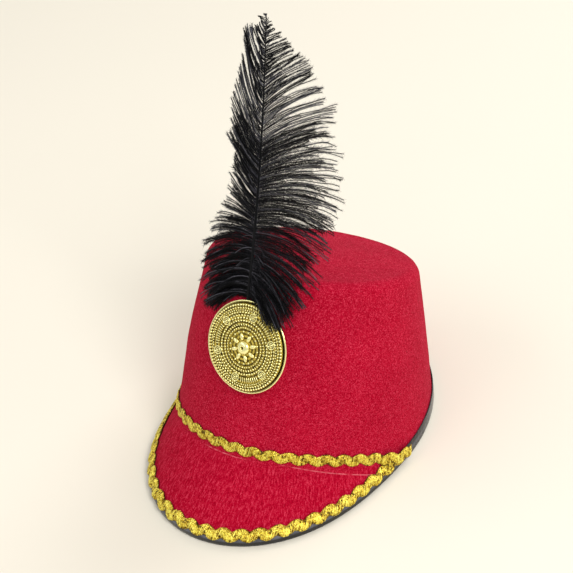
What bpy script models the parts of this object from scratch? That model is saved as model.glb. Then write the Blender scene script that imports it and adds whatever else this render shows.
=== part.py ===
# Marching band hat: a moulded felt crown with a peak, a bound edge, two wavy gold braids,
# a cast medallion and a plume.
# Lengths are in metres. The pieces are built in the crown's own frame: +Z up the crown, -Y forward
# and +X to the wearer's left. They hang from an empty that stands the hat on its bound edge, as it
# stands by itself on a table, so that the crown leans back.

from functools import lru_cache
from math import atan2, cos, hypot, pi, radians, sin, tan

import bmesh
import bpy
from mathutils import Matrix, Vector

# Felt crown, outer sizes. Heights are measured from a plane through the front of the crease braid.
FELT_THICKNESS = 0.0020
CROWN_HALF_LENGTH = 0.0990
CROWN_HALF_WIDTH = 0.0900
CROWN_HEIGHT = 0.1130
TOP_HALF_LENGTH = 0.0785
TOP_HALF_WIDTH = 0.0715
TOP_FORWARD = 0.0075
TOP_TILT = radians(6.0)
TOP_DOME = 0.0030
SHOULDER_RADIUS = 0.0090
WALL_BULGE = 0.0012
WALL_BOW = 0.0015

# The bound edge lies in one plane, which the hat stands on and which the crown leans back from.
LEAN = radians(20.6)
RIM_DEPTH = 0.0099

# Peak: how far it stands out of the crown's line at the front, the power by which that fades towards
# the ears, how far its face arches as a share of the reach, the angle where it ends, and the length
# over which the fold eases into the edge there.
PEAK_REACH = 0.0262
PEAK_FADE = 2.5
PEAK_CAMBER = 0.25
EAR_ANGLE = radians(86.0)
EAR_EASE = 0.0020

# Gap that two touching pieces keep, glue or stitching in the real hat.
SEAT_GAP = 0.0003

# Binding: tape folded round the felt's edge.
BINDING_THICKNESS = 0.0010
BINDING_WIDTH = 0.0062
BINDING_CORNER = 0.0009

# Wavy braid: a strip that swings to either side of its middle line. The crease braid's middle drops
# from front to ear, the fold runs below it, and near the edge a braid's middle keeps this inset.
BRAID_THICKNESS = 0.0015
BRAID_STRIP = 0.0070
BRAID_WAVE = 0.0013
BRAID_REPEAT = 0.0125
BRAID_INSET = 0.0050
CREASE_BRAID_DROP = 0.0145
CREASE_BRAID_END = radians(85.5)
FOLD_BELOW_BRAID = 0.0074

# Medallion: a disc that faces forward on a pad, a little to the wearer's left of the middle. It and
# the plume stand more upright than the felt behind them, by these angles.
MEDALLION_RADIUS = 0.0314
MEDALLION_HEIGHT = 0.0739
MEDALLION_SIDEWAYS = 0.0103
MEDALLION_UPRIGHT = radians(2.0)
MEDALLION_PLATE = 0.0012
MEDALLION_RELIEF = 0.0040
MEDALLION_PAD_RADIUS = 0.0070

# Plume: its quill starts behind the medallion, leans and bends to the wearer's right, and carries
# barbs gathered in locks.
QUILL_WIDTH = 0.0026
QUILL_TIP_WIDTH = 0.0008
PLUME_LENGTH = 0.2050
PLUME_START = 0.0080
PLUME_SIDEWAYS = 0.0057
PLUME_UPRIGHT = radians(1.0)
PLUME_LEAN = radians(2.1)
PLUME_SWAY = 0.0130
BARB_REACH = 0.0660
LOCK_PITCH = 0.0066
LOCK_SPACING = 0.0010
LOCK_THICKNESS = 0.0011

# How finely the round pieces are faceted.
SHELL_STATIONS = 64
MEDALLION_STATIONS = 48
BRAID_STATIONS_PER_WAVE = 6
PATH_SAMPLES = 240
SOLVER_STEPS = 8
PROBE_ANGLE = 0.002
PROBE_LENGTH = 0.0002

# Rows of the felt's skin from the edge up: the zone, and the share of that zone's height.
SHELL_ROWS = (
    ("hem", 0.0),
    ("hem", 1.0),
    ("peak", 0.35),
    ("peak", 0.70),
    ("peak", 1.00),
    ("wall", 0.12),
    ("wall", 0.40),
    ("wall", 0.70),
    ("wall", 1.00),
    ("shoulder", 0.33),
    ("shoulder", 0.67),
    ("shoulder", 1.00),
    ("top", 0.35),
    ("top", 0.70),
)

# Medallion's face from its rim in: radius as a share of the medallion's, height as a share of the
# relief's, how many beads or petals the ring has, and how far they stand up as a share of the relief.
RELIEF_ROWS = (
    (0.960, 0.00, 0, 0.00),
    (0.940, 0.25, 0, 0.00),
    (0.895, 0.45, 24, 0.20),
    (0.850, 0.30, 0, 0.00),
    (0.780, 0.50, 24, 0.12),
    (0.660, 0.55, 0, 0.00),
    (0.560, 0.62, 24, 0.12),
    (0.490, 0.50, 0, 0.00),
    (0.420, 0.75, 24, 0.15),
    (0.350, 0.55, 0, 0.00),
    (0.260, 0.70, 8, 0.22),
    (0.150, 0.60, 8, 0.10),
    (0.110, 0.98, 0, 0.00),
)

# Plume's vane: where a lock leaves the quill as a share of the plume's length; then its reach to the
# side and its rise, right and left of the wearer, and how far its tip comes forward. All but the
# first are shares of the longest barb.
VANE_ROWS = (
    (0.130, 0.61, -0.24, 0.49, -0.20, -0.08),
    (0.200, 0.68, -0.17, 0.67, -0.10, -0.06),
    (0.300, 0.57, -0.10, 0.80, -0.02, 0.00),
    (0.420, 0.38, 0.02, 0.90, 0.10, 0.05),
    (0.550, 0.46, 0.14, 0.92, 0.28, 0.08),
    (0.680, 0.36, 0.26, 0.78, 0.36, 0.08),
    (0.800, 0.29, 0.28, 0.52, 0.24, 0.06),
    (0.920, 0.14, 0.15, 0.26, 0.12, 0.04),
    (1.000, 0.03, 0.10, 0.03, 0.10, 0.02),
)

# A lock from the quill to its tip: how far along, its width as a share of its root's, and its thickness
# as a share of a lock's.
LOCK_ROWS = (
    (0.25, 0.95, 1.00),
    (0.60, 0.85, 0.80),
    (0.85, 0.60, 0.60),
    (1.00, 0.15, 0.40),
)


def mix(start, end, share):
    return start + (end - start) * share


def smooth_step(value):
    value = min(max(value, 0.0), 1.0)
    return value * value * (3 - 2 * value)


def soft_max(first, second, ease):
    """The larger of two lengths, eased over this length where they are nearly equal."""
    return (first + second + hypot(first - second, ease)) / 2


def table_row(table, key):
    """The table's row at this value of its first column, worked out between the rows on either side."""
    key = min(max(key, table[0][0]), table[-1][0])
    for low, high in zip(table, table[1:]):
        if key <= high[0]:
            share = (key - low[0]) / (high[0] - low[0])
            return [mix(a, b, share) for a, b in zip(low, high)]
    return list(table[-1])


# Felt's outer face


def plan_normal(angle):
    out = Vector((sin(angle) / CROWN_HALF_WIDTH, -cos(angle) / CROWN_HALF_LENGTH, 0))
    return out.normalized()


def wall_point(angle, height):
    """Point of the crown's wall, carried on downward in a straight line below the fold."""
    share = height / CROWN_HEIGHT
    bow = sin(pi * share) ** 2 if share > 0 else 0.0
    half_length = mix(CROWN_HALF_LENGTH, TOP_HALF_LENGTH, share) + WALL_BULGE * bow
    half_width = mix(CROWN_HALF_WIDTH, TOP_HALF_WIDTH, share) + WALL_BULGE * bow
    middle = -TOP_FORWARD * share - WALL_BOW * bow
    return Vector((half_width * sin(angle), middle - half_length * cos(angle), height))


def floor_height(point):
    """Height above the plane that the bound edge stands on."""
    return (point.z + RIM_DEPTH) * cos(LEAN) - point.y * sin(LEAN)


def peak_push(angle):
    fade = 1 - (angle / EAR_ANGLE) ** 2
    return PEAK_REACH * max(fade, 0.0) ** PEAK_FADE


@lru_cache(maxsize=None)
def edge_height(angle):
    """Height of the felt's cut edge, which the binding lifts off the floor."""
    lift = BINDING_THICKNESS + SEAT_GAP + FELT_THICKNESS
    height = -RIM_DEPTH
    for _ in range(SOLVER_STEPS):
        point = wall_point(angle, height) + plan_normal(angle) * peak_push(angle)
        height += (lift - floor_height(point)) / cos(LEAN)
    return height


def crease_braid_height(angle):
    """Height of the crease braid's middle: it drops from the front to the ears and stays off the edge."""
    free = -CREASE_BRAID_DROP * (1 - cos(angle)) ** 2
    return soft_max(free, edge_height(angle) + BRAID_INSET, EAR_EASE)


@lru_cache(maxsize=None)
def fold_height(angle):
    below_braid = crease_braid_height(angle) - FOLD_BELOW_BRAID
    above_binding = edge_height(angle) + BINDING_WIDTH + EAR_EASE
    return soft_max(below_braid, above_binding, EAR_EASE)


def felt_point(angle, height):
    """Point of the felt's outer face: the crown's wall and, below the fold, the peak."""
    edge = edge_height(angle)
    share = (height - edge) / (fold_height(angle) - edge)
    push = peak_push(angle) * (1 - share) * (1 + PEAK_CAMBER * share) if share < 1 else 0.0
    return wall_point(angle, height) + plan_normal(angle) * push


def felt_frame(angle, height):
    """Point of the felt's outer face, the way up along it, and the way out of it."""
    up = felt_point(angle, height + PROBE_LENGTH) - felt_point(angle, height - PROBE_LENGTH)
    along = felt_point(angle + PROBE_ANGLE, height) - felt_point(angle - PROBE_ANGLE, height)
    return felt_point(angle, height), up.normalized(), along.cross(up).normalized()


def off_felt(angle, height, distance):
    """Point this far outside the felt's face."""
    point, _, out = felt_frame(angle, height)
    return point + out * distance


def rise_rate(angle):
    """Height gained for each metre up the face from the felt's edge."""
    edge = edge_height(angle)
    return BINDING_WIDTH / (felt_point(angle, edge + BINDING_WIDTH) - felt_point(angle, edge)).length


def height_above_edge(angle, distance):
    """Height at this distance up the face from the felt's edge."""
    return edge_height(angle) + distance * rise_rate(angle)


# Felt shell


def top_plane():
    """A point of the crown's top plane, and the way out of it."""
    return Vector((0, 0, CROWN_HEIGHT)), Vector((0, sin(TOP_TILT), cos(TOP_TILT)))


def shoulder_height(angle):
    """Height where the wall meets the rounded shoulder: a ball seated there touches the top plane."""
    origin, out = top_plane()
    height = CROWN_HEIGHT - SHOULDER_RADIUS
    for _ in range(SOLVER_STEPS):
        point, _, wall_out = felt_frame(angle, height)
        height -= (point - wall_out * SHOULDER_RADIUS - origin).dot(out) + SHOULDER_RADIUS
    return height


def shell_column(angle):
    """Points and outward directions up the felt's face at this angle, from the edge to the top."""
    origin, top_out = top_plane()
    middle = origin + Vector((0, -TOP_FORWARD, TOP_FORWARD * tan(TOP_TILT)))
    edge = edge_height(angle)
    zones = {
        "hem": (edge, height_above_edge(angle, BINDING_WIDTH)),
        "peak": (height_above_edge(angle, BINDING_WIDTH), fold_height(angle)),
        "wall": (fold_height(angle), shoulder_height(angle)),
    }
    shoulder, _, wall_out = felt_frame(angle, shoulder_height(angle))
    centre = shoulder - wall_out * SHOULDER_RADIUS
    column = []
    for zone, share in SHELL_ROWS:
        if zone in zones:
            point, _, out = felt_frame(angle, mix(*zones[zone], share))
        elif zone == "shoulder":
            out = wall_out.slerp(top_out, share)
            point = centre + out * SHOULDER_RADIUS
        else:
            out = top_out
            point = (centre + out * SHOULDER_RADIUS).lerp(middle, share)
            point += out * TOP_DOME * (share * (2 - share)) ** 2
        column.append((point, out))
    column.append((middle + top_out * TOP_DOME, top_out))
    return column


def loft(name, rings, closed=False):
    """Skins rings of points, each joined to the next. A ring of one point closes the skin to a tip, other
    end rings are capped, and a closed loft joins its last ring to its first."""
    skin = bmesh.new()
    loops = [[skin.verts.new(point) for point in ring] for ring in rings]
    pairs = list(zip(loops, loops[1:]))
    if closed:
        pairs.append((loops[-1], loops[0]))
    for low, high in pairs:
        count = max(len(low), len(high))
        for i in range(count):
            j = (i + 1) % count
            if len(low) == 1:
                skin.faces.new((low[0], high[j], high[i]))
            elif len(high) == 1:
                skin.faces.new((low[i], low[j], high[0]))
            else:
                skin.faces.new((low[i], low[j], high[j], high[i]))
    if not closed:
        for ring in (loops[0], loops[-1]):
            if len(ring) > 1:
                skin.faces.new(ring)
    return mesh_object(name, skin)


def mesh_object(name, skin):
    bmesh.ops.recalc_face_normals(skin, faces=skin.faces)
    mesh = bpy.data.meshes.new(name)
    skin.to_mesh(mesh)
    skin.free()
    mesh.shade_smooth()
    mesh.set_sharp_from_angle(angle=radians(35))
    piece = bpy.data.objects.new(name, mesh)
    bpy.context.scene.collection.objects.link(piece)
    return piece


def station_angles():
    """Angles round the hat from its back, by its right side, front and left side."""
    return [mix(-pi, pi, i / SHELL_STATIONS) for i in range(SHELL_STATIONS)]


def felt_shell():
    """Crown and peak as one moulded felt wall, open below."""
    columns = [shell_column(angle) for angle in station_angles()]
    rows = list(zip(*columns))
    outer = [[point for point, _ in row] for row in rows]
    inner = [[point - out * FELT_THICKNESS for point, out in row] for row in rows]
    outer[-1] = outer[-1][:1]
    inner[-1] = inner[-1][:1]
    return loft("felt_shell", inner[::-1] + outer)


# Binding


def on_floor(point, inward=Vector((0, 0, 0))):
    """The point straight below this one on the plane that the hat stands on."""
    point = point + inward
    return point - Vector((0, -sin(LEAN), cos(LEAN))) * floor_height(point)


def binding_section(angle):
    """Tape's cross-section at this angle: up the felt's face, flat on the floor, up the felt's inside."""
    edge, up, edge_out = felt_frame(angle, edge_height(angle))
    hem, _, hem_out = felt_frame(angle, height_above_edge(angle, BINDING_WIDTH))
    near = SEAT_GAP
    far = SEAT_GAP + BINDING_THICKNESS
    inner_edge = edge - edge_out * FELT_THICKNESS
    inner_hem = hem - hem_out * FELT_THICKNESS
    outer_corner = edge + edge_out * far
    corner = BINDING_CORNER * plan_normal(angle)
    floor_up = Vector((0, -sin(LEAN), cos(LEAN)))
    return (
        hem + hem_out * near,
        hem + hem_out * far,
        outer_corner,
        on_floor(outer_corner) + floor_up * BINDING_CORNER,
        on_floor(outer_corner, -corner),
        on_floor(inner_edge - edge_out * far),
        inner_edge - edge_out * far,
        inner_hem - hem_out * far,
        inner_hem - hem_out * near,
        inner_edge - edge_out * near - up * near,
        edge + edge_out * near - up * near,
    )


def edge_binding():
    return loft("edge_binding", [binding_section(angle) for angle in station_angles()], closed=True)


# Braids


def even_path(start, end, height_at, step):
    """Angles from start to end at even distances along the felt, a whole number of waves near this step."""
    angles = [mix(start, end, i / PATH_SAMPLES) for i in range(PATH_SAMPLES + 1)]
    points = [felt_point(angle, height_at(angle)) for angle in angles]
    lengths = [0.0]
    for low, high in zip(points, points[1:]):
        lengths.append(lengths[-1] + (high - low).length)
    repeats = round(lengths[-1] / step)
    count = repeats * BRAID_STATIONS_PER_WAVE
    table = list(zip(lengths, angles))
    return [table_row(table, lengths[-1] * i / count)[1] for i in range(count + 1)]


def crease_to_edge(angle):
    """How far the crease braid's middle lies above the felt's edge, up the face."""
    middle = felt_point(angle, crease_braid_height(angle))
    return (middle - felt_point(angle, edge_height(angle))).length


def crease_braid():
    """Braid along the fold from ear to ear. It climbs over the binding where it reaches the edge."""
    seat = SEAT_GAP
    over_binding = 2 * SEAT_GAP + BINDING_THICKNESS
    half = BRAID_STRIP / 2
    clear = BINDING_WIDTH + half + BRAID_WAVE + SEAT_GAP
    angles = even_path(-CREASE_BRAID_END, CREASE_BRAID_END, crease_braid_height, BRAID_REPEAT)
    rings = []
    for i, angle in enumerate(angles):
        wave = BRAID_WAVE * sin(2 * pi * i / BRAID_STATIONS_PER_WAVE)
        middle = crease_braid_height(angle)
        nearness = smooth_step((clear + BRAID_STRIP - crease_to_edge(angle)) / BRAID_STRIP)
        bottom = mix(seat, over_binding, nearness)
        top = bottom + BRAID_THICKNESS
        low = middle + (wave - half) * rise_rate(angle)
        high = middle + (wave + half) * rise_rate(angle)
        corners = ((low, bottom), (high, bottom), (high, top), (low, top))
        rings.append([off_felt(angle, height, distance) for height, distance in corners])
    return loft("crease_braid", rings)


def peak_braid_end():
    """Angle at which the peak braid tucks against the crease braid."""
    clear = BRAID_INSET + BRAID_STRIP + 2 * BRAID_WAVE + SEAT_GAP
    angle = EAR_ANGLE
    while crease_to_edge(angle) < clear:
        angle -= PROBE_ANGLE
    return angle


def peak_braid():
    """Braid along the peak's edge. Its outer half lies on the binding, its inner half on the felt."""
    end = peak_braid_end()
    on_felt = 2 * SEAT_GAP
    over_binding = on_felt + BINDING_THICKNESS
    half = BRAID_STRIP / 2
    angles = even_path(-end, end, lambda angle: height_above_edge(angle, BRAID_INSET), BRAID_REPEAT)
    rings = []
    for i, angle in enumerate(angles):
        wave = BRAID_WAVE * sin(2 * pi * i / BRAID_STATIONS_PER_WAVE)
        low = height_above_edge(angle, BRAID_INSET + wave - half)
        step = height_above_edge(angle, BINDING_WIDTH + 2 * SEAT_GAP)
        high = height_above_edge(angle, BRAID_INSET + wave + half)
        bottom = ((low, over_binding), (step, over_binding), (high, on_felt))
        top = [(height, distance + BRAID_THICKNESS) for height, distance in bottom[::-1]]
        rings.append([off_felt(angle, height, distance) for height, distance in (*bottom, *top)])
    return loft("peak_braid", rings)


# Medallion


def crown_front_matrix(upright, sideways, off):
    """Frame on the crown's front at the medallion's height: X across, Y up the crown, Z forward. It stands
    this much more upright than the felt there, this far sideways and off the felt."""
    seat, _, felt_out = felt_frame(0.0, MEDALLION_HEIGHT)
    tilt = atan2(felt_out.z, -felt_out.y) - upright
    out = Vector((0, -cos(tilt), sin(tilt)))
    across = Vector((1, 0, 0))
    turn = Matrix((across, out.cross(across), out)).transposed().to_4x4()
    return Matrix.Translation(seat + across * sideways + out * off) @ turn


def medallion():
    """Cast disc on a pad that is glued to the felt. The quill passes between disc and felt."""
    back = SEAT_GAP + QUILL_WIDTH
    face = back + MEDALLION_PLATE
    rows = [
        (MEDALLION_PAD_RADIUS, 0.0, 0, 0.0),
        (MEDALLION_PAD_RADIUS, back, 0, 0.0),
        (MEDALLION_RADIUS, back, 0, 0.0),
        (MEDALLION_RADIUS, face, 0, 0.0),
    ]
    for radius, height, lobes, lobe_height in RELIEF_ROWS:
        height = face + height * MEDALLION_RELIEF
        rows.append((radius * MEDALLION_RADIUS, height, lobes, lobe_height * MEDALLION_RELIEF))
    rings = [[Vector((0, 0, 0))]]
    for radius, height, lobes, lobe_height in rows:
        ring = []
        for i in range(MEDALLION_STATIONS):
            turn = 2 * pi * i / MEDALLION_STATIONS
            raised = height + lobe_height * (0.5 + 0.5 * cos(lobes * turn)) if lobes else height
            ring.append(Vector((radius * cos(turn), radius * sin(turn), raised)))
        rings.append(ring)
    rings.append([Vector((0, 0, face + MEDALLION_RELIEF))])
    piece = loft("medallion", rings)
    piece.matrix_basis = crown_front_matrix(MEDALLION_UPRIGHT, MEDALLION_SIDEWAYS, SEAT_GAP)
    return piece


# Plume


def quill_point(share):
    """Middle of the quill at this share of its length, in the plume's plane: across, up, forward."""
    up = PLUME_START + PLUME_LENGTH * share
    across = -tan(PLUME_LEAN) * up - PLUME_SWAY * share * share
    return Vector((across, up, 0))


def grow_lock(skin, root, side, share):
    """Grows a lock of barbs out of four corners of the quill, to the wearer's right (-1) or left (1)."""
    _, right_reach, right_rise, left_reach, left_rise, curl = table_row(VANE_ROWS, share)
    reach, rise = (left_reach, left_rise) if side > 0 else (right_reach, right_rise)
    middle = sum((corner.co for corner in root), Vector()) / 4
    half_width = (root[2].co - root[1].co).length / 2
    previous = root
    for along, width_share, thickness_share in LOCK_ROWS:
        centre = middle + BARB_REACH * Vector(
            (side * reach * along, rise * along * (2 - along), curl * along * along)
        )
        width = half_width * width_share
        thickness = LOCK_THICKNESS / 2 * thickness_share
        corners = ((-width, -thickness), (-width, thickness), (width, thickness), (width, -thickness))
        ring = [skin.verts.new(centre + Vector((0, y, z))) for y, z in corners]
        for i in range(4):
            j = (i + 1) % 4
            skin.faces.new((previous[i], previous[j], ring[j], ring[i]))
        previous = ring
    skin.faces.new(previous)


def plume():
    """Quill with its barbs gathered in locks, all one body."""
    count = int((VANE_ROWS[-1][0] - VANE_ROWS[0][0]) * PLUME_LENGTH / LOCK_PITCH)
    first = VANE_ROWS[0][0]
    pitch = (1 - first) / (count + 1)
    spacing = LOCK_SPACING / PLUME_LENGTH
    shares = [0.0]
    for i in range(count):
        shares += [first + i * pitch + spacing, first + (i + 1) * pitch]
    shares.append(1.0)
    skin = bmesh.new()
    rings = []
    for share in shares:
        half = mix(QUILL_WIDTH, QUILL_TIP_WIDTH, share) / 2
        corners = ((-half, -half), (-half, half), (half, half), (half, -half))
        rings.append([skin.verts.new(quill_point(share) + Vector((x, 0, z))) for x, z in corners])
    for k, (low, high) in enumerate(zip(rings, rings[1:])):
        for i in range(4):
            j = (i + 1) % 4
            side = {0: -1, 2: 1}.get(i, 0)
            if side and k % 2:
                root = (low[0], low[1], high[1], high[0]) if side < 0 else (low[3], low[2], high[2], high[3])
                grow_lock(skin, root, side, (shares[k] + shares[k + 1]) / 2)
            else:
                skin.faces.new((low[i], low[j], high[j], high[i]))
    skin.faces.new(rings[0])
    skin.faces.new(rings[-1])
    piece = mesh_object("plume", skin)
    off_felt_by = SEAT_GAP + QUILL_WIDTH / 2
    piece.matrix_basis = crown_front_matrix(PLUME_UPRIGHT, PLUME_SIDEWAYS, off_felt_by)
    return piece


# Assembly


def material(name, colour, roughness, metallic=0.0):
    finish = bpy.data.materials.new(name)
    finish.use_nodes = True
    shader = finish.node_tree.nodes["Principled BSDF"]
    shader.inputs["Base Color"].default_value = (*colour, 1)
    shader.inputs["Roughness"].default_value = roughness
    shader.inputs["Metallic"].default_value = metallic
    finish.diffuse_color = (*colour, 1)
    return finish


def stand_on_floor(pieces):
    """Hangs the pieces from an empty that leans the crown back until the bound edge lies on z = 0, with
    the middle of the hat's length and width over the origin."""
    stand = bpy.data.objects.new("stand", None)
    bpy.context.scene.collection.objects.link(stand)
    for piece in pieces:
        piece.parent = stand
    lean = Matrix.Rotation(-LEAN, 4, "X")
    spots = [lean @ piece.matrix_basis @ vertex.co for piece in pieces for vertex in piece.data.vertices]
    across = [spot.x for spot in spots]
    along = [spot.y for spot in spots]
    middle = Vector((min(across) + max(across), min(along) + max(along), 0)) / 2
    lift = Vector((0, 0, RIM_DEPTH * cos(LEAN)))
    stand.matrix_world = Matrix.Translation(lift - middle) @ lean


def build_hat():
    for leftover in list(bpy.data.objects):
        bpy.data.objects.remove(leftover)
    finishes = {
        "felt": material("red_felt", (0.46, 0.008, 0.035), 0.95),
        "binding": material("black_tape", (0.012, 0.012, 0.014), 0.35),
        "braid": material("gold_braid", (0.72, 0.50, 0.05), 0.40, 0.8),
        "casting": material("gold_casting", (0.75, 0.56, 0.12), 0.30, 1.0),
        "feather": material("black_feather", (0.010, 0.010, 0.011), 0.60),
    }
    pieces = {
        felt_shell(): "felt",
        edge_binding(): "binding",
        crease_braid(): "braid",
        peak_braid(): "braid",
        medallion(): "casting",
        plume(): "feather",
    }
    for piece, finish in pieces.items():
        piece.data.materials.append(finishes[finish])
    stand_on_floor(list(pieces))


build_hat()
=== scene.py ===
# Red felt marching band hat: felt, bound edge, gold braids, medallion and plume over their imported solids.
import math

import bpy
import numpy as np
from mathutils import Matrix, Vector, noise


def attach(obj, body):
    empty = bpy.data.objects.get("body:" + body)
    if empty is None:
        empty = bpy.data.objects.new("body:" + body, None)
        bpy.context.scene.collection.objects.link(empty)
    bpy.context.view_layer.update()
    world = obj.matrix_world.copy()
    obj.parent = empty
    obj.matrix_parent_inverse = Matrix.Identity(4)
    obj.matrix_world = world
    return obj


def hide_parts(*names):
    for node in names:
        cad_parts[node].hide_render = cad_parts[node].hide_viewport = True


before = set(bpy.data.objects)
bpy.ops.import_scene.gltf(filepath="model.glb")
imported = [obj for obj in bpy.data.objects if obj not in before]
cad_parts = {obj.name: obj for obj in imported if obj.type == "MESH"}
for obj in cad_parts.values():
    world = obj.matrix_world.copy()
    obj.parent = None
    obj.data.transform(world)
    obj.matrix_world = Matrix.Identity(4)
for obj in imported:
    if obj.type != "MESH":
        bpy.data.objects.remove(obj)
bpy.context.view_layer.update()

# The pieces are shaped in the crown's own frame, in metres: +Z up the crown, -Y forward, +X to the
# wearer's left. The hat then leans back until its bound edge lies flat on the floor.
hat = {
    "thickness": 0.0020,
    "halfLength": 0.0990,
    "halfWidth": 0.0900,
    "height": 0.1130,
    "topHalfLength": 0.0785,
    "topHalfWidth": 0.0715,
    "topForward": 0.0075,
    "topTilt": math.radians(6.0),
    "topDome": 0.0030,
    "shoulder": 0.0090,
    "bulge": 0.0012,
    "bow": 0.0015,
    "lean": math.radians(20.6),
    "rimDepth": 0.0099,
    "middle": (0.00008, -0.02012),  # what the stand takes off across and along
    "peakReach": 0.0262,
    "peakFade": 2.5,
    "peakCamber": 0.25,
    "earAngle": math.radians(86.0),
    "earEase": 0.0020,
    "creaseDrop": 0.0145,  # how fast the crease sinks from the front towards the ears
    "foldBelow": 0.0074,  # from the crease braid's middle down to the fold
    "bindingWidth": 0.0062,
    "bindingThickness": 0.0010,
    "braidInset": 0.0050,
    "foldSoftness": 0.0030,
    "gap": 0.0003,
}

leanTurn = Matrix.Rotation(-hat["lean"], 4, "X")
leanShift = Vector((-hat["middle"][0], -hat["middle"][1], hat["rimDepth"] * math.cos(hat["lean"])))
toFloor = Matrix.Translation(leanShift) @ leanTurn


# Felt face as arrays

def mix(start, end, share):
    return start + (end - start) * share


def smoothStep(value):
    value = np.clip(value, 0.0, 1.0)
    return value * value * (3 - 2 * value)


def softMax(first, second, ease):
    return (first + second + np.hypot(first - second, ease)) / 2


def unit(vectors):
    return vectors / np.linalg.norm(vectors, axis=-1, keepdims=True)


def planNormal(angle):
    out = np.stack([np.sin(angle) / hat["halfWidth"], -np.cos(angle) / hat["halfLength"], 0 * angle], -1)
    return unit(out)


def wallPoint(angle, height):
    share = height / hat["height"]
    bow = np.where(share > 0, np.sin(np.pi * share) ** 2, 0.0)
    length = mix(hat["halfLength"], hat["topHalfLength"], share) + hat["bulge"] * bow
    width = mix(hat["halfWidth"], hat["topHalfWidth"], share) + hat["bulge"] * bow
    middle = -hat["topForward"] * share - hat["bow"] * bow
    return np.stack([width * np.sin(angle), middle - length * np.cos(angle), height], -1)


def floorHeight(point):
    lean = hat["lean"]
    return (point[..., 2] + hat["rimDepth"]) * math.cos(lean) - point[..., 1] * math.sin(lean)


def peakPush(angle):
    return hat["peakReach"] * np.maximum(1 - (angle / hat["earAngle"]) ** 2, 0.0) ** hat["peakFade"]


# the felt's edge, found in a few rounds: the tape under it lies on the floor all the way round
ringAngles = np.linspace(-np.pi, np.pi, 1441)
ringEdge = np.full_like(ringAngles, -hat["rimDepth"])
for _ in range(10):
    onPeak = wallPoint(ringAngles, ringEdge) + planNormal(ringAngles) * peakPush(ringAngles)[:, None]
    clear = hat["bindingThickness"] + hat["gap"] + hat["thickness"]
    ringEdge += (clear - floorHeight(onPeak)) / math.cos(hat["lean"])


def edgeHeight(angle):
    return np.interp(angle, ringAngles, ringEdge, period=2 * np.pi)


def freeCrease(angle):
    return -hat["creaseDrop"] * (1 - np.cos(angle)) ** 2


def creaseHeight(angle):
    return softMax(freeCrease(angle), edgeHeight(angle) + hat["braidInset"], hat["earEase"])


def foldHeight(angle):
    aboveBinding = edgeHeight(angle) + hat["bindingWidth"] + hat["earEase"]
    return softMax(creaseHeight(angle) - hat["foldBelow"], aboveBinding, hat["earEase"])


def feltPoint(angle, height):
    angle, height = np.broadcast_arrays(np.asarray(angle, float), np.asarray(height, float))
    wrapped = (angle + np.pi) % (2 * np.pi) - np.pi
    deep = foldHeight(wrapped) - edgeHeight(wrapped)
    below = foldHeight(wrapped) - height
    share = (below + np.hypot(below, hat["foldSoftness"])) / 2 / deep
    push = peakPush(wrapped) * share * (1 + hat["peakCamber"] * (1 - share))
    return wallPoint(angle, height) + planNormal(angle) * push[..., None]


def feltFrame(angle, height):
    angle, height = np.broadcast_arrays(np.asarray(angle, float), np.asarray(height, float))
    lift, swing = 0.0002, 0.002  # small steps either way give the slope
    up = feltPoint(angle, height + lift) - feltPoint(angle, height - lift)
    along = feltPoint(angle + swing, height) - feltPoint(angle - swing, height)
    return feltPoint(angle, height), unit(up), unit(np.cross(along, up))


def offFelt(angle, height, distance):
    point, _, out = feltFrame(angle, height)
    return point + out * np.asarray(distance)[..., None]


def aboveEdge(angle, distance):
    edge, width = edgeHeight(angle), hat["bindingWidth"]
    face = np.linalg.norm(feltPoint(angle, edge + width) - feltPoint(angle, edge), axis=-1)
    return edge + distance * width / face


# Meshes

def makeMesh(name, points, faces, material, uv=None, place=toFloor, values=None):
    mesh = bpy.data.meshes.new(name)
    mesh.from_pydata(points.tolist(), [], faces)
    if uv is not None:
        layer = mesh.uv_layers.new(name="lay")
        layer.data.foreach_set("uv", np.asarray(uv, np.float32).ravel())
    for label, numbers in (values or {}).items():
        attribute = mesh.attributes.new(label, "FLOAT", "POINT")
        attribute.data.foreach_set("value", np.asarray(numbers, np.float32).ravel())
    mesh.transform(place)
    mesh.shade_smooth()
    mesh.materials.append(material)
    return mesh


def gridFaces(rows, columns, wrapColumns=True, wrapRows=False):
    row = np.arange(rows if wrapRows else rows - 1)[:, None]
    column = np.arange(columns if wrapColumns else columns - 1)[None, :]
    nextRow, nextColumn = (row + 1) % rows, (column + 1) % columns
    corners = (row * columns + column, row * columns + nextColumn,
               nextRow * columns + nextColumn, nextRow * columns + column)
    return np.stack(np.broadcast_arrays(*corners), -1).reshape(-1, 4).tolist()


def poleFaces(rows, columns):
    # closes a lathed grid by its two poles, which are the first points after it
    pole, last = rows * columns, (rows - 1) * columns
    under = [(pole, (i + 1) % columns, i) for i in range(columns)]
    over = [(pole + 1, last + i, last + (i + 1) % columns) for i in range(columns)]
    return under + over


def endFaces(rows, columns):
    last = (rows - 1) * columns
    return [tuple(range(columns))[::-1], tuple(range(last, last + columns))]


def wrappedUv(faces, us, vs, around, tall=None):
    # a face that crosses the seam has its far corners moved one turn on, so the pattern runs through
    uv = []
    for face in faces:
        across, up = [us[corner] for corner in face], [vs[corner] for corner in face]
        wraps = max(across) - min(across) > around / 2
        turns = tall is not None and max(up) - min(up) > tall / 2
        for u, v in zip(across, up):
            u = u + around if wraps and u < 0 else u
            v = v + tall if turns and v < tall / 2 else v
            uv.append((u, v))
    return uv


def showPiece(name, mesh, slot, *nodes):
    piece = bpy.data.objects.new(name, mesh)
    bpy.context.scene.collection.objects.link(piece)
    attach(piece, "root")
    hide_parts(*nodes)
    mesh.calc_loop_triangles()
    print(f"{name}: {len(mesh.loop_triangles)} triangles")


# Nodes

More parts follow.
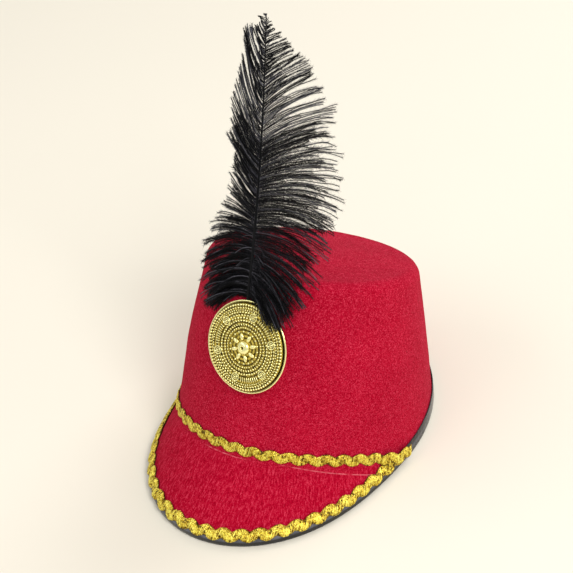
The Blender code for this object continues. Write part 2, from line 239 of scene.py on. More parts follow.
def feed(tree, socket, value):
    if isinstance(value, bpy.types.NodeSocket):
        tree.links.new(value, socket)
    else:
        socket.default_value = value


def put(tree, kind, inputs=None, **settings):
    made = tree.nodes.new(kind)
    for label, value in settings.items():
        setattr(made, label, value)
    for key, value in (inputs or {}).items():
        feed(tree, made.inputs[key], value)
    return made


def calc(tree, operation, *values):
    return put(tree, "ShaderNodeMath", dict(enumerate(values)), operation=operation).outputs[0]


def times(tree, *values):
    return calc(tree, "MULTIPLY", *values)


def plus(tree, *values):
    return calc(tree, "ADD", *values)


def timesPlus(tree, *values):  # the first by the second, and the third on top
    return calc(tree, "MULTIPLY_ADD", *values)


def vectorCalc(tree, operation, first, second=None, scale=None):
    given = {0: first, 1: second, "Scale": scale}
    given = {key: value for key, value in given.items() if value is not None}
    return put(tree, "ShaderNodeVectorMath", given, operation=operation).outputs[0]


def combine(tree, x, y, z):
    return put(tree, "ShaderNodeCombineXYZ", {0: x, 1: y, 2: z}).outputs[0]


def randomValue(tree, low, high, key, seed):
    given = {2: low, 3: high, "ID": key, "Seed": seed}
    return put(tree, "FunctionNodeRandomValue", given, data_type="FLOAT").outputs[1]


def store(tree, geometry, label, value, kind="FLOAT"):
    given = {"Geometry": geometry, "Name": label, "Value": value}
    return put(tree, "GeometryNodeStoreNamedAttribute", given, data_type=kind, domain="POINT").outputs[0]


def recall(tree, label, kind="FLOAT"):
    return put(tree, "GeometryNodeInputNamedAttribute", {"Name": label}, data_type=kind).outputs[0]


def moved(tree, geometry, **given):
    given = {label.capitalize(): value for label, value in given.items()}
    return put(tree, "GeometryNodeSetPosition", {"Geometry": geometry, **given}).outputs[0]


def copies(tree, points, instance, **given):
    given = {label.capitalize(): value for label, value in given.items()}
    given = {"Points": points, "Instance": instance, **given}
    return put(tree, "GeometryNodeInstanceOnPoints", given).outputs[0]


def sweep(tree, curve, sides, radius, caps):
    outline = {"Resolution": sides, "Radius": radius}
    outline = put(tree, "GeometryNodeCurvePrimitiveCircle", outline).outputs[0]
    given = {"Curve": curve, "Profile Curve": outline, "Fill Caps": caps}
    return put(tree, "GeometryNodeCurveToMesh", given).outputs[0]


def numberedLines(tree, count, points, label):
    # as many lines as asked for, each of whose points knows its line's number
    spots = put(tree, "GeometryNodePoints", {"Count": count}).outputs[0]
    spots = store(tree, spots, label, put(tree, "GeometryNodeInputIndex").outputs[0])
    line = put(tree, "GeometryNodeCurvePrimitiveLine").outputs[0]
    fine = put(tree, "GeometryNodeResampleCurve", {"Curve": line, "Count": points}).outputs[0]
    return put(tree, "GeometryNodeRealizeInstances", {"Geometry": copies(tree, spots, fine)}).outputs[0]


def geometryTree(name, inputs):
    tree = bpy.data.node_groups.new(name, "GeometryNodeTree")
    tree.is_modifier = True
    tree.interface.new_socket("Geometry", in_out="OUTPUT", socket_type="NodeSocketGeometry")
    tree.interface.new_socket("Geometry", in_out="INPUT", socket_type="NodeSocketGeometry")
    for kind, labels in inputs.items():
        for label in labels:
            tree.interface.new_socket(label, in_out="INPUT", socket_type="NodeSocket" + kind)
    tree.interface.new_socket("Finish", in_out="INPUT", socket_type="NodeSocketMaterial")
    return tree, put(tree, "NodeGroupInput").outputs


def finishTree(tree, geometry, given):
    smooth = put(tree, "GeometryNodeSetShadeSmooth", {"Geometry": geometry}).outputs[0]
    real = put(tree, "GeometryNodeRealizeInstances", {"Geometry": smooth}).outputs[0]
    painted = put(tree, "GeometryNodeSetMaterial", {"Geometry": real, "Material": given["Finish"]})
    tree.links.new(painted.outputs[0], put(tree, "NodeGroupOutput").inputs[0])
    return tree


def growMesh(name, tree, settings, source):
    holder = bpy.data.objects.new(name + "Source", source)
    bpy.context.scene.collection.objects.link(holder)
    modifier = holder.modifiers.new(name, "NODES")
    modifier.node_group = tree
    for item in tree.interface.items_tree:
        if item.in_out == "INPUT" and item.name in settings:
            modifier[item.identifier] = settings[item.name]
    bpy.context.view_layer.update()
    graph = bpy.context.evaluated_depsgraph_get()
    mesh = bpy.data.meshes.new_from_object(holder.evaluated_get(graph), depsgraph=graph)
    holder.modifiers.remove(modifier)
    bpy.data.objects.remove(holder)
    mesh.name = name
    return mesh


# Materials

def newMaterial(name, colour, **sockets):
    material = bpy.data.materials.new(name)
    material.use_nodes = True
    material.diffuse_color = (*colour, 1)
    shader = material.node_tree.nodes["Principled BSDF"]
    shader.inputs["Base Color"].default_value = (*colour, 1)
    for label, value in sockets.items():
        socket = shader.inputs[label.replace("_", " ")]
        socket.default_value = (*value, 1) if isinstance(value, tuple) else value
    return material, material.node_tree, shader


def ramp(tree, factor, *stops):
    made = put(tree, "ShaderNodeValToRGB", {0: factor})
    elements = made.color_ramp.elements
    while len(elements) < len(stops):
        elements.new(0.5)
    for element, (place, colour) in zip(elements, stops):
        element.position = place
        element.color = (*colour, 1)
    return made.outputs[0]


def mixColour(tree, factor, first, second, mode="MIX"):
    second = second if isinstance(second, bpy.types.NodeSocket) else (*second, 1)
    given = {0: factor, 6: first, 7: second}
    return put(tree, "ShaderNodeMix", given, data_type="RGBA", blend_type=mode).outputs[2]


def mapped(tree, value, fromLow, fromHigh, toLow, toHigh):
    given = dict(enumerate((value, fromLow, fromHigh, toLow, toHigh)))
    return put(tree, "ShaderNodeMapRange", given).outputs[0]


def noiseAt(tree, coordinates, scale, detail=2.0, distortion=0.0, roughness=0.5):
    given = {"Vector": coordinates, "Scale": scale, "Detail": detail, "Distortion": distortion,
             "Roughness": roughness}
    return put(tree, "ShaderNodeTexNoise", given).outputs[0]


def bump(tree, height, strength, distance, shader, below=None):
    given = {"Strength": strength, "Distance": distance, "Height": height}
    given.update({"Normal": below} if below is not None else {})
    normal = put(tree, "ShaderNodeBump", given).outputs[0]
    tree.links.new(normal, shader.inputs["Normal"])
    return normal


def onObject(tree):
    return put(tree, "ShaderNodeTexCoord").outputs["Object"]


def onLay(tree):
    return put(tree, "ShaderNodeUVMap", uv_map="lay").outputs[0]


def carried(tree, label):  # a value that the mesh carries
    return put(tree, "ShaderNodeAttribute", attribute_name=label).outputs["Fac"]


# Felt crown and peak

feltSizes = {
    "stations": 288,
    # rows over the binding's height, up to the fold, up the wall, round the shoulder and over the top
    "outerRows": (4, 26, 66, 9, 26),
    "innerRows": (2, 10, 24, 5, 10),
    "lumps": 0.00022,
    "lumpSize": 0.012,
    "uvPerAngle": 0.095,
    "fibreScale": 720.0,  # fibres per metre or so
    "combScale": 1050.0,
    "combing": 0.55,
    "dark": (0.280, 0.0002, 0.0100),
    "middle": (0.430, 0.0008, 0.0215),
    "light": (0.650, 0.0430, 0.0880),
    "cloudTint": (0.90, 0.86, 0.88),
    "foldHighlightColour": (0.80, 0.20, 0.24),
    # painted highlight along the fold below the crease braid: angle, height over the fold, how clearly it
    # shows
    "line": [(-0.20, 0.0008, 0.0), (-0.12, 0.0009, 1.0), (0.12, 0.0011, 1.0), (0.20, 0.0013, 0.0),
             (0.42, 0.0022, 0.0), (0.50, 0.0018, 0.8), (0.80, -0.0012, 0.8), (1.10, -0.0036, 0.8),
             (1.22, -0.0044, 0.0)],
}


# painted highlight: a thin pale broken line along the fold, where its edge catches the light
def paintedFoldHighlight(tree):
    away = calc(tree, "ABSOLUTE", carried(tree, "paintedFoldHighlight"))
    near = mapped(tree, away, 0.00012, 0.00050, 0.75, 0.0)
    broken = mapped(tree, noiseAt(tree, onObject(tree), 300.0, 2.0), 0.38, 0.6, 0.10, 0.9)
    return times(tree, times(tree, near, carried(tree, "paintedFoldHighlightSeen")), broken)


def feltMaterial():
    sizes = feltSizes
    material, tree, shader = newMaterial("redFelt", sizes["middle"], Roughness=0.95, Sheen_Weight=0.05,
                                         Sheen_Roughness=0.5, Sheen_Tint=(1.0, 0.35, 0.45),
                                         Specular_IOR_Level=0.03)
    where, scale = onObject(tree), sizes["fibreScale"]
    strands = noiseAt(tree, where, scale, 3.0, 2.2, 0.55)
    specks = noiseAt(tree, where, scale * 1.8, 2.0, 0.6, 0.6)
    clouds = noiseAt(tree, where, 30.0, 3.0, 0.4, 0.55)
    stretched = vectorCalc(tree, "MULTIPLY", onLay(tree), (1.0, 0.22, 1.0))
    nap = noiseAt(tree, stretched, sizes["combScale"], 2.0, 0.6)
    onPeak = times(tree, carried(tree, "onPeak"), sizes["combing"])
    combed = times(tree, calc(tree, "SUBTRACT", nap, strands), onPeak)
    grain = timesPlus(tree, specks, 0.30, times(tree, plus(tree, strands, combed), 0.70))
    colour = ramp(tree, grain, (0.39, sizes["dark"]), (0.50, sizes["middle"]), (0.62, sizes["light"]))
    shade = ramp(tree, clouds, (0.3, sizes["cloudTint"]), (0.7, (1.0, 1.0, 1.0)))
    colour = mixColour(tree, 1.0, colour, shade, "MULTIPLY")
    colour = mixColour(tree, paintedFoldHighlight(tree), colour, sizes["foldHighlightColour"])
    tree.links.new(colour, shader.inputs["Base Color"])
    fibreBump = bump(tree, grain, 0.6, 0.0007, shader)
    bump(tree, clouds, 0.15, 0.0015, shader, fibreBump)
    return material


def shoulderStart(angle, origin, topOut):
    # the height where the wall turns into the rounded shoulder, found in a few rounds
    height = np.full_like(angle, hat["height"] - hat["shoulder"])
    for _ in range(8):
        point, _, out = feltFrame(angle, height)
        height -= (point - out * hat["shoulder"] - origin) @ topOut + hat["shoulder"]
    return height


def feltShell():
    sizes = feltSizes
    angle = np.linspace(-np.pi, np.pi, sizes["stations"], endpoint=False)
    origin = np.array((0, 0, hat["height"]))
    topOut = np.array((0, math.sin(hat["topTilt"]), math.cos(hat["topTilt"])))
    middle = origin + np.array((0, -hat["topForward"], hat["topForward"] * math.tan(hat["topTilt"])))
    shoulder = shoulderStart(angle, origin, topOut)
    point, _, wallOut = feltFrame(angle, shoulder)
    centre = point - wallOut * hat["shoulder"]
    edge, hem, fold = edgeHeight(angle), aboveEdge(angle, hat["bindingWidth"]), foldHeight(angle)

    def column(counts):
        spots = []
        for low, high, count in ((edge, hem, counts[0]), (hem, fold, counts[1]), (fold, shoulder, counts[2])):
            for share in np.linspace(0, 1, count, endpoint=False):
                height = mix(low, high, share)
                spots.append((*feltFrame(angle, height)[::2], height))
        for share in np.linspace(0, 1, counts[3], endpoint=False):
            out = unit(mix(wallOut, topOut, share))
            spots.append((centre + out * hat["shoulder"], out, shoulder + share))
        for share in np.linspace(0, 1, counts[4], endpoint=False):
            spot = mix(centre + topOut * hat["shoulder"], middle, share)
            spot = spot + topOut * hat["topDome"] * (share * (2 - share)) ** 2
            spots.append((spot, np.broadcast_to(topOut, spot.shape), shoulder + 1 + share))
        return [np.stack(part) for part in zip(*spots)]

    outer, outs, heights = column(sizes["outerRows"])
    inner, innerOuts, innerHeights = column(sizes["innerRows"])
    inner = inner - innerOuts * hat["thickness"]
    pole = middle + topOut * hat["topDome"]
    for row, spots in enumerate(outer):  # soft lumps of hand-moulded felt, none at the bound edge
        rise = np.array([noise.noise(Vector(spot) / sizes["lumpSize"]) for spot in spots])
        keep = smoothStep((row - 2) / 4)
        outer[row] = spots + outs[row] * (rise * sizes["lumps"] * keep)[:, None]
    rings = np.concatenate([inner[::-1], outer])
    rows, count = rings.shape[:2]
    points = np.concatenate([rings.reshape(-1, 3), [pole - topOut * hat["thickness"], pole]])
    faces = gridFaces(rows, count) + poleFaces(rows, count)
    run = np.cumsum(np.linalg.norm(np.diff(rings, axis=0), axis=-1), 0)
    us = np.append(np.tile(angle, rows), [0, 0]) * sizes["uvPerAngle"]
    vs = np.append(np.concatenate([np.zeros((1, count)), run]).ravel(), [0, run.max()])
    uv = wrappedUv(faces, us, vs, 2 * np.pi * sizes["uvPerAngle"])
    allHeights = np.concatenate([innerHeights[::-1], heights])
    fade = smoothStep((foldHeight(angle) + 0.002 - allHeights) / 0.004)
    lineAngle, lineRise, lineSeen = np.array(sizes["line"]).T
    lineHeight = foldHeight(angle) + np.interp(angle, lineAngle, lineRise)
    # the first two values place the painted fold highlight
    values = {
        "paintedFoldHighlight": np.append((lineHeight - allHeights).ravel(), [1, 1]),
        "paintedFoldHighlightSeen": np.append(np.tile(np.interp(angle, lineAngle, lineSeen), rows), [0, 0]),
        "onPeak": np.append(fade.ravel(), [0, 0]),
    }
    mesh = makeMesh("feltShell", points, faces, feltMaterial(), uv, values=values)
    showPiece("feltShell", mesh, "red_felt", "felt_shell")


feltShell()


# Black tape folded round the edge

tapeSizes = {
    "stations": 420,
    "thickness": hat["bindingThickness"],
    "width": hat["bindingWidth"],
    "corner": 0.0009,
    "pucker": 0.00012,
    "puckerSize": 0.007,
    "uvPerAngle": 0.105,
    "ribGap": 0.0011,
    "black": [(0.35, (0.0025, 0.0025, 0.003)), (0.7, (0.010, 0.010, 0.013))],
    # the second ramp is a painted highlight: a lighter grey standing in for the tape's reflection of the
    # light
    "paintedHighlightGrey": [(0.3, (0.045, 0.046, 0.054)), (0.7, (0.130, 0.134, 0.155))],
    # the painted highlight band starts and ends at these corners of the section, each over so many corners
    "bandStart": (3.2, 1.0),
    "bandEnd": (5.2, 0.6),
}


def tapeMaterial():
    material, tree, shader = newMaterial("blackTape", (0.006, 0.006, 0.008), Roughness=0.24,
                                         Specular_IOR_Level=0.35, Coat_Weight=0.25, Coat_Roughness=0.10)
    lay = onLay(tree)
    across = put(tree, "ShaderNodeSeparateXYZ", {0: lay}).outputs[0]
    ribs = calc(tree, "SINE", times(tree, across, 2 * math.pi / tapeSizes["ribGap"]))
    wrinkle = noiseAt(tree, vectorCalc(tree, "MULTIPLY", lay, (1.0, 0.35, 1.0)), 170.0, 3.0, 0.5)
    black = ramp(tree, wrinkle, *tapeSizes["black"])
    paintedHighlightGrey = ramp(tree, wrinkle, *tapeSizes["paintedHighlightGrey"])
    # painted highlight: a lighter grey band on the tape's outer face
    colour = mixColour(tree, carried(tree, "paintedHighlight"), black, paintedHighlightGrey)
    tree.links.new(colour, shader.inputs["Base Color"])
    tree.links.new(mapped(tree, wrinkle, 0.0, 1.0, 0.16, 0.36), shader.inputs["Roughness"])
    ribBump = bump(tree, ribs, 0.08, 0.0002, shader)
    bump(tree, wrinkle, 0.35, 0.0010, shader, ribBump)
    return material


def tapeSection(angle):
    # the folded tape's corners: down the felt's outside, over the floor and up the inside
    near, far = hat["gap"], hat["gap"] + tapeSizes["thickness"]
    edge, up, edgeOut = feltFrame(angle, edgeHeight(angle))
    floorUp = np.array((0, -math.sin(hat["lean"]), math.cos(hat["lean"])))
    corner = tapeSizes["corner"] * planNormal(angle)

    def onFloor(point):
        return point - floorUp * floorHeight(point)[:, None]

    innerEdge = edge - edgeOut * hat["thickness"]
    outerCorner = edge + edgeOut * far
    faceRows = []
    for share in (1.0, 0.86, 0.66, 0.45, 0.25):
        height = aboveEdge(angle, tapeSizes["width"] * share)
        faceRows.append(offFelt(angle, height, np.full_like(angle, far)))
    hem, _, hemOut = feltFrame(angle, aboveEdge(angle, tapeSizes["width"]))
    innerHem = hem - hemOut * hat["thickness"]
    section = [hem + hemOut * near, *faceRows, outerCorner,
               onFloor(outerCorner) + floorUp * tapeSizes["corner"], onFloor(outerCorner - corner),
               onFloor(innerEdge - edgeOut * far), innerEdge - edgeOut * far,
               innerHem - hemOut * far, innerHem - hemOut * near,
               innerEdge - edgeOut * near - up * near, edge + edgeOut * near - up * near]
    section = np.stack(section)
    for _ in range(2):  # cut the corners twice, so that the tape folds softly
        following = np.roll(section, -1, axis=0)
        cuts = [0.75 * section + 0.25 * following, 0.25 * section + 0.75 * following]
        section = np.stack(cuts, 1).reshape(-1, len(angle), 3)
    return section


# where the painted highlight lies: on the tape's outer face, strongest at the front, weaker at the back and
# on the wearer's right
def paintedHighlightBand(angle, rows):
    place = np.arange(rows)[:, None] / 4  # counted in the section's first corners
    start, end = tapeSizes["bandStart"], tapeSizes["bandEnd"]
    band = smoothStep((place - start[0]) / start[1]) * (1 - smoothStep((place - end[0]) / end[1]))
    front = smoothStep((2.0 - np.abs(angle)[None, :]) / 0.8)
    right = smoothStep((-angle[None, :] - 0.7) / 0.5)
    return band * (0.35 + 0.65 * front) * (1 - 0.7 * right)


def edgeBinding():
    sizes = tapeSizes
    angle = np.linspace(-np.pi, np.pi, sizes["stations"], endpoint=False)
    section = tapeSection(angle)
    rows, count = section.shape[:2]
    bottom = floorHeight(section) < 0.0004
    for i, spots in enumerate(section):
        rise = np.array([noise.noise(Vector(spot) / sizes["puckerSize"]) for spot in spots]) * sizes["pucker"]
        section[i] = spots + planNormal(angle) * np.where(bottom[i], 0, rise)[:, None]
    faces = [face[::-1] for face in gridFaces(rows, count, wrapRows=True)]
    run = np.cumsum(np.linalg.norm(np.diff(section, axis=0, append=section[:1]), axis=-1), 0)
    us = np.tile(angle * sizes["uvPerAngle"], rows)
    vs = np.concatenate([np.zeros((1, count)), run[:-1]]).ravel()
    uv = wrappedUv(faces, us, vs, 2 * np.pi * sizes["uvPerAngle"], run[-1].mean())
    values = {"paintedHighlight": paintedHighlightBand(angle, rows)}
    mesh = makeMesh("edgeBinding", section.reshape(-1, 3), faces, tapeMaterial(), uv, values=values)
    showPiece("edgeBinding", mesh, "black_tape", "edge_binding")


edgeBinding()


# Wavy gold braids

braid = {
    "strip": 0.0070,
    "wave": 0.0013,
    "repeat": 0.0125,
    "thickness": 0.0015,
    "inset": hat["braidInset"],
    "earInset": 0.0040,  # where the two braids meet at the ears
    "stationsPerWave": 22,
    "acrossRows": 13,
    "threadGap": 0.00066,
    "threadRadius": 0.00028,
    "unevenness": 0.00024,
    # slant, how much nearer the braid's start the bottom end lies; then how high it lies on the band
    "threadSets": {"Threads": (-0.0058, 0.00010), "Weft": (0.0020, -0.00006)},
    "creaseEnd": math.radians(85.5),
    "peakEnd": math.radians(80.5),
    # dark, middle and light gold for the threads, and a darker copy for the ground, painted shade that shows
    # between and under the threads
    "threadGold": ((0.090, 0.048, 0.002), (0.68, 0.42, 0.014), (1.0, 0.90, 0.170)),
    "paintedShadeGroundGold": ((0.045, 0.026, 0.001), (0.30, 0.20, 0.006), (0.75, 0.58, 0.035)),
}


def lurexMaterial(name, dark, middle, light):
    material, tree, shader = newMaterial(name, middle, Metallic=0.75, Roughness=0.34, Specular_IOR_Level=0.7)
    where = onObject(tree)
    glint = noiseAt(tree, where, 760.0, 2.0, 0.8, 0.7)
    patch = noiseAt(tree, where, 280.0, 2.0)
    tone = timesPlus(tree, glint, 1.30, timesPlus(tree, patch, 0.45, -0.63))
    tone = timesPlus(tree, carried(tree, "shade"), 0.55, tone)
    colour = ramp(tree, tone, (0.36, dark), (0.53, middle), (0.72, light))
    tree.links.new(colour, shader.inputs["Base Color"])
    tree.links.new(mapped(tree, glint, 0.3, 0.7, 0.22, 0.5), shader.inputs["Roughness"])
    bump(tree, glint, 0.7, 0.0005, shader)
    return material


threadGold = lurexMaterial("goldLurex", *braid["threadGold"])
# the ground's gold is the threads' gold darkened, painted shade between the threads
paintedShadeGroundGold = lurexMaterial("goldGroundPaintedShade", *braid["paintedShadeGroundGold"])


def evenPath(end, heightAt):
    angle = np.linspace(-end, end, 2001)
    run = np.cumsum(np.linalg.norm(np.diff(feltPoint(angle, heightAt(angle)), axis=0), axis=-1))
    run = np.insert(run, 0, 0.0)
    repeats = round(run[-1] / braid["repeat"])
    stations = np.linspace(0, run[-1], repeats * braid["stationsPerWave"] + 1)
    return np.interp(stations, run, angle), run[-1], repeats


def lobe(phase):
    return 2 * np.abs(np.cos((phase - np.pi / 2) / 2)) - 1


def braidBand(name, angle, repeats, middle, seatAt, node):
    phase = np.linspace(0, 2 * np.pi * repeats, len(angle))[:, None]
    share = (1 - np.cos(np.linspace(0, np.pi, braid["acrossRows"]))) / 2
    number = np.arange(len(angle))
    fromEnd = np.minimum(number, number[::-1])[:, None] / braid["stationsPerWave"]
    narrow = 0.45 + 0.55 * np.sqrt(np.clip(fromEnd / 0.45, 0, 1))
    half, wave = braid["strip"] / 2 * narrow, braid["wave"] * narrow
    low, high = -half - wave * lobe(phase + np.pi), half + wave * lobe(phase)
    across = mix(low, high, share[None, :])
    wide = angle[:, None] + 0 * across
    rate = (aboveEdge(wide, hat["bindingWidth"]) - edgeHeight(wide)) / hat["bindingWidth"]
    height = middle(wide) + across * rate
    seat = seatAt(wide, across)
    dome = np.sqrt(np.maximum(1 - (2 * share - 1) ** 2, 0))[None, :]
    crease = 0.5 + 0.5 * np.cos(phase + np.pi / 2 - (1 - share[None, :]) * np.pi)
    strand = 1 - crease ** 4  # full over each strand, none in the creases between them
    rise = braid["thickness"] * (0.20 + 0.66 * dome ** 0.4 * (0.55 + 0.45 * strand))
    rise = rise * np.clip(0.15 + fromEnd * 4, 0, 1)
    top, bottom = offFelt(wide, height, seat + rise), offFelt(wide, height, seat)
    rings = np.concatenate([bottom, top[:, ::-1]], axis=1)
    count, ring = rings.shape[:2]
    faces = gridFaces(count, ring) + endFaces(count, ring)
    # painted light and shade: lighter over the top of each strand, darker in the creases between them and at
    # the band's edges, and darkest on its underside
    paintedStrandLight = 0.12 + 0.70 * dome ** 0.5 * (0.3 + 0.7 * strand)
    shade = np.concatenate([0 * paintedStrandLight, paintedStrandLight[:, ::-1]], axis=1)
    mesh = makeMesh(name, rings.reshape(-1, 3), faces, paintedShadeGroundGold, values={"shade": shade})
    showPiece(name, mesh, "gold_braid", node)
    # the band's top alone, which the threads are laid on
    sheetFaces = gridFaces(count, len(share), wrapColumns=False)
    u = np.repeat(np.linspace(0, 1, count), len(share))
    v = np.tile(np.linspace(0, 1, len(share)), count)
    uv = [(u[corner], v[corner]) for face in sheetFaces for corner in face]
    return makeMesh(name + "Sheet", top.reshape(-1, 3), sheetFaces, threadGold, uv, values={"paintedStrandLight": paintedStrandLight})


def threadTree():
    tree, given = geometryTree("laidThreads", {
        "Int": ("Threads", "Seed"), "Float": ("Radius", "Slant", "Lift", "Unevenness")})
    lines = numberedLines(tree, given["Threads"], 9, "thread")
    thread = recall(tree, "thread")
    along = put(tree, "GeometryNodeSplineParameter").outputs["Factor"]
    jitter = randomValue(tree, -0.35, 0.35, thread, given["Seed"])
    place = calc(tree, "DIVIDE", plus(tree, plus(tree, thread, 0.5), jitter), given["Threads"])
    across = calc(tree, "SUBTRACT", along, 0.5)
    margin = timesPlus(tree, calc(tree, "ABSOLUTE", given["Slant"]), 0.5, 0.002)
    inside = timesPlus(tree, margin, -2.0, 1.0)
    u = timesPlus(tree, across, given["Slant"], timesPlus(tree, place, inside, margin))
    v = timesPlus(tree, along, 0.95, 0.025)
    lay = recall(tree, "lay", "FLOAT_VECTOR")
    where = combine(tree, u, v, 0.0)

    def sampled(value, kind):
        made = put(tree, "GeometryNodeSampleUVSurface", {0: given["Geometry"]}, data_type=kind)
        for label, source in (("Value", value), ("UV Map", lay), ("Sample UV", where)):
            feed(tree, made.inputs[label], source)
        return made.outputs[0]

    spot = sampled(put(tree, "GeometryNodeInputPosition").outputs[0], "FLOAT_VECTOR")
    facing = sampled(put(tree, "GeometryNodeInputNormal").outputs[0], "FLOAT_VECTOR")
    # the band's painted light and shade under each thread
    paintedStrandLight = sampled(recall(tree, "paintedStrandLight"), "FLOAT")
    uneven = randomValue(tree, 0.0, 1.0, thread, plus(tree, given["Seed"], 7))
    lift = timesPlus(tree, uneven, given["Unevenness"], given["Lift"])
    raised = vectorCalc(tree, "SCALE", facing, scale=lift)
    lines = moved(tree, lines, position=vectorCalc(tree, "ADD", spot, raised))
    tint = randomValue(tree, 0.0, 1.0, thread, plus(tree, given["Seed"], 3))
    # each thread's shade is a random tint plus the painted light and shade of the band under it
    lines = store(tree, lines, "shade", timesPlus(tree, tint, 0.65, times(tree, paintedStrandLight, 0.55)))
    return finishTree(tree, sweep(tree, lines, 4, given["Radius"], True), given)


laidThreads = threadTree()


def layThreads(name, sheet, length, node, seed):
    for turn, (label, (slant, lift)) in enumerate(braid["threadSets"].items()):
        settings = {"Threads": int(length / braid["threadGap"]), "Radius": braid["threadRadius"],
                    "Slant": slant / length, "Lift": lift, "Unevenness": braid["unevenness"],
                    "Seed": seed + 50 * turn, "Finish": threadGold}
        mesh = growMesh(name + label, laidThreads, settings, sheet.copy())
        showPiece(name + label, mesh, "gold_braid", node)


def creaseToEdge(angle):
    crease, edge = feltPoint(angle, creaseHeight(angle)), feltPoint(angle, edgeHeight(angle))
    return np.linalg.norm(crease - edge, axis=-1)


def braidsMeet():
    angle = np.linspace(0.8, hat["earAngle"], 4001)
    clear = braid["inset"] + braid["strip"] + 2 * braid["wave"] + hat["gap"]
    return angle[np.nonzero(creaseToEdge(angle) > clear)[0][-1]]


meetAngle = braidsMeet()


def creaseBraid():
    clear = hat["bindingWidth"] + braid["strip"] / 2 + braid["wave"] + hat["gap"]

    def middle(wide):
        return softMax(freeCrease(wide), edgeHeight(wide) + braid["earInset"], hat["earEase"])

    def seatAt(wide, across):
        near = smoothStep((clear + braid["strip"] - creaseToEdge(wide)) / braid["strip"])
        onBinding = mix(hat["gap"], 2 * hat["gap"] + tapeSizes["thickness"], near)
        over = smoothStep((np.abs(wide) - meetAngle + 0.02) / 0.14)  # it climbs over the peak braid's end
        return onBinding + over * (braid["thickness"] * 0.8 + hat["gap"])

    angle, length, repeats = evenPath(braid["creaseEnd"], middle)
    sheet = braidBand("creaseBraid", angle, repeats, middle, seatAt, "crease_braid")
    layThreads("creaseBraid", sheet, length, "crease_braid", 11)


def peakBraid():
    def middle(wide):
        nearEar = smoothStep((np.abs(wide) - meetAngle) / 0.2)
        return aboveEdge(wide, mix(braid["inset"], braid["earInset"], nearEar))

    def seatAt(wide, across):
        step = smoothStep((braid["inset"] + across - hat["bindingWidth"] - 0.0002) / 0.0014)
        return mix(2 * hat["gap"] + tapeSizes["thickness"], 2 * hat["gap"], step)

    angle, length, repeats = evenPath(braid["peakEnd"], middle)
    sheet = braidBand("peakBraid", angle, repeats, middle, seatAt, "peak_braid")
    layThreads("peakBraid", sheet, length, "peak_braid", 23)


creaseBraid()
peakBraid()


# Cast medallion

disc = {
    "radius": 0.0314,
    "height": 0.0739,
    "sideways": 0.0103,
    "tilt": math.radians(8.04),
    "plate": 0.0012,
    "plateEdge": 0.930,  # share of the radius
    "relief": 0.0040,
    "padRadius": 0.0070,
    "backGap": 0.0029,  # the quill passes here
    "wire": 0.00052,
    "panels": 6,
    "turn": 0.35,
    "bossRadius": 0.0046,
    "bossHole": 0.0013,
    "bossRise": 0.0024,
    "studSides": 8,
    "rosetteShare": 0.692,
    "rosetteRadius": 0.0027,
    "rosetteWire": 0.00042,
    # share of the radius, and how much of the relief the plate has there
    "dome": [(0.0, 0.66), (0.15, 0.64), (0.35, 0.58), (0.50, 0.54), (0.66, 0.50), (0.80, 0.44),
             (0.90, 0.34), (0.93, 0.24)],
    "gold": [(0.23, (0.035, 0.022, 0.002)), (0.43, (0.82, 0.63, 0.100)), (0.64, (1.0, 0.95, 0.44))],
}

# share of the radius, count, sizes outward, round and up in millimetres, skew, filled share of each panel,
# and which panels: 0 or 1 for every other one, 0.5 for all
studRows = [
    ("edgeBeads", 0.905, 84, (0.95, 0.92, 0.95), 0.0, 1.0, 0.5),
    ("ropeBeads", 0.846, 80, (1.05, 0.52, 0.90), 0.7, 1.0, 0.5),
    ("fineBeads", 0.796, 88, (0.52, 0.70, 0.75), 0.0, 1.0, 0.5),
    ("longBars", 0.695, 84, (2.30, 0.42, 0.95), 0.0, 0.66, 0.0),
    ("outerGrains", 0.750, 66, (0.72, 0.92, 0.80), 0.4, 0.66, 1.0),
    ("middleGrains", 0.692, 60, (0.62, 0.92, 0.75), -0.4, 0.66, 1.0),
    ("innerGrains", 0.636, 54, (0.72, 0.92, 0.80), 0.4, 0.66, 1.0),
    ("middleBeads", 0.575, 54, (0.75, 0.85, 0.80), 0.0, 1.0, 0.5),
    ("innerBars", 0.497, 50, (1.10, 0.46, 0.90), 0.3, 1.0, 0.5),
    ("innerBeads", 0.425, 44, (0.55, 0.70, 0.70), 0.0, 1.0, 0.5),
    ("petalTips", 0.345, 18, (0.85, 0.75, 0.85), 0.0, 1.0, 0.5),
    ("petals", 0.235, 8, (3.00, 1.65, 1.30), 0.0, 1.0, 0.5),
]


def castMaterial():
    material, tree, shader = newMaterial("goldCasting", (0.85, 0.70, 0.20), Metallic=0.75, Roughness=0.28)
    tarnish = noiseAt(tree, onObject(tree), 520.0, 4.0, 0.6, 0.6)
    # the carried value is painted light and shade: dark in the recesses and under the studs, bright on raised
    # tops and wires
    tone = timesPlus(tree, tarnish, 0.40, times(tree, carried(tree, "paintedCastLight"), 0.60))
    tree.links.new(ramp(tree, tone, *disc["gold"]), shader.inputs["Base Color"])
    tree.links.new(mapped(tree, tone, 0.2, 0.7, 0.50, 0.22), shader.inputs["Roughness"])
    bump(tree, tarnish, 0.25, 0.0003, shader)
    return material


def crownPlace(sideways, tilt, off):
    seat = feltFrame(0.0, disc["height"])[0]
    out = Vector((0, -math.cos(tilt), math.sin(tilt)))
    across = Vector((1, 0, 0))
    turn = Matrix((across, out.cross(across), out)).transposed().to_4x4()
    return toFloor @ Matrix.Translation(Vector(seat) + across * sideways + out * off) @ turn


casting = castMaterial()
discPlace = crownPlace(disc["sideways"], disc["tilt"], hat["gap"])
discFace = disc["backGap"] + disc["plate"]


def domeHeight(share):
    shares, rises = np.array(disc["dome"]).T
    return discFace + disc["relief"] * float(np.interp(share, shares, rises))


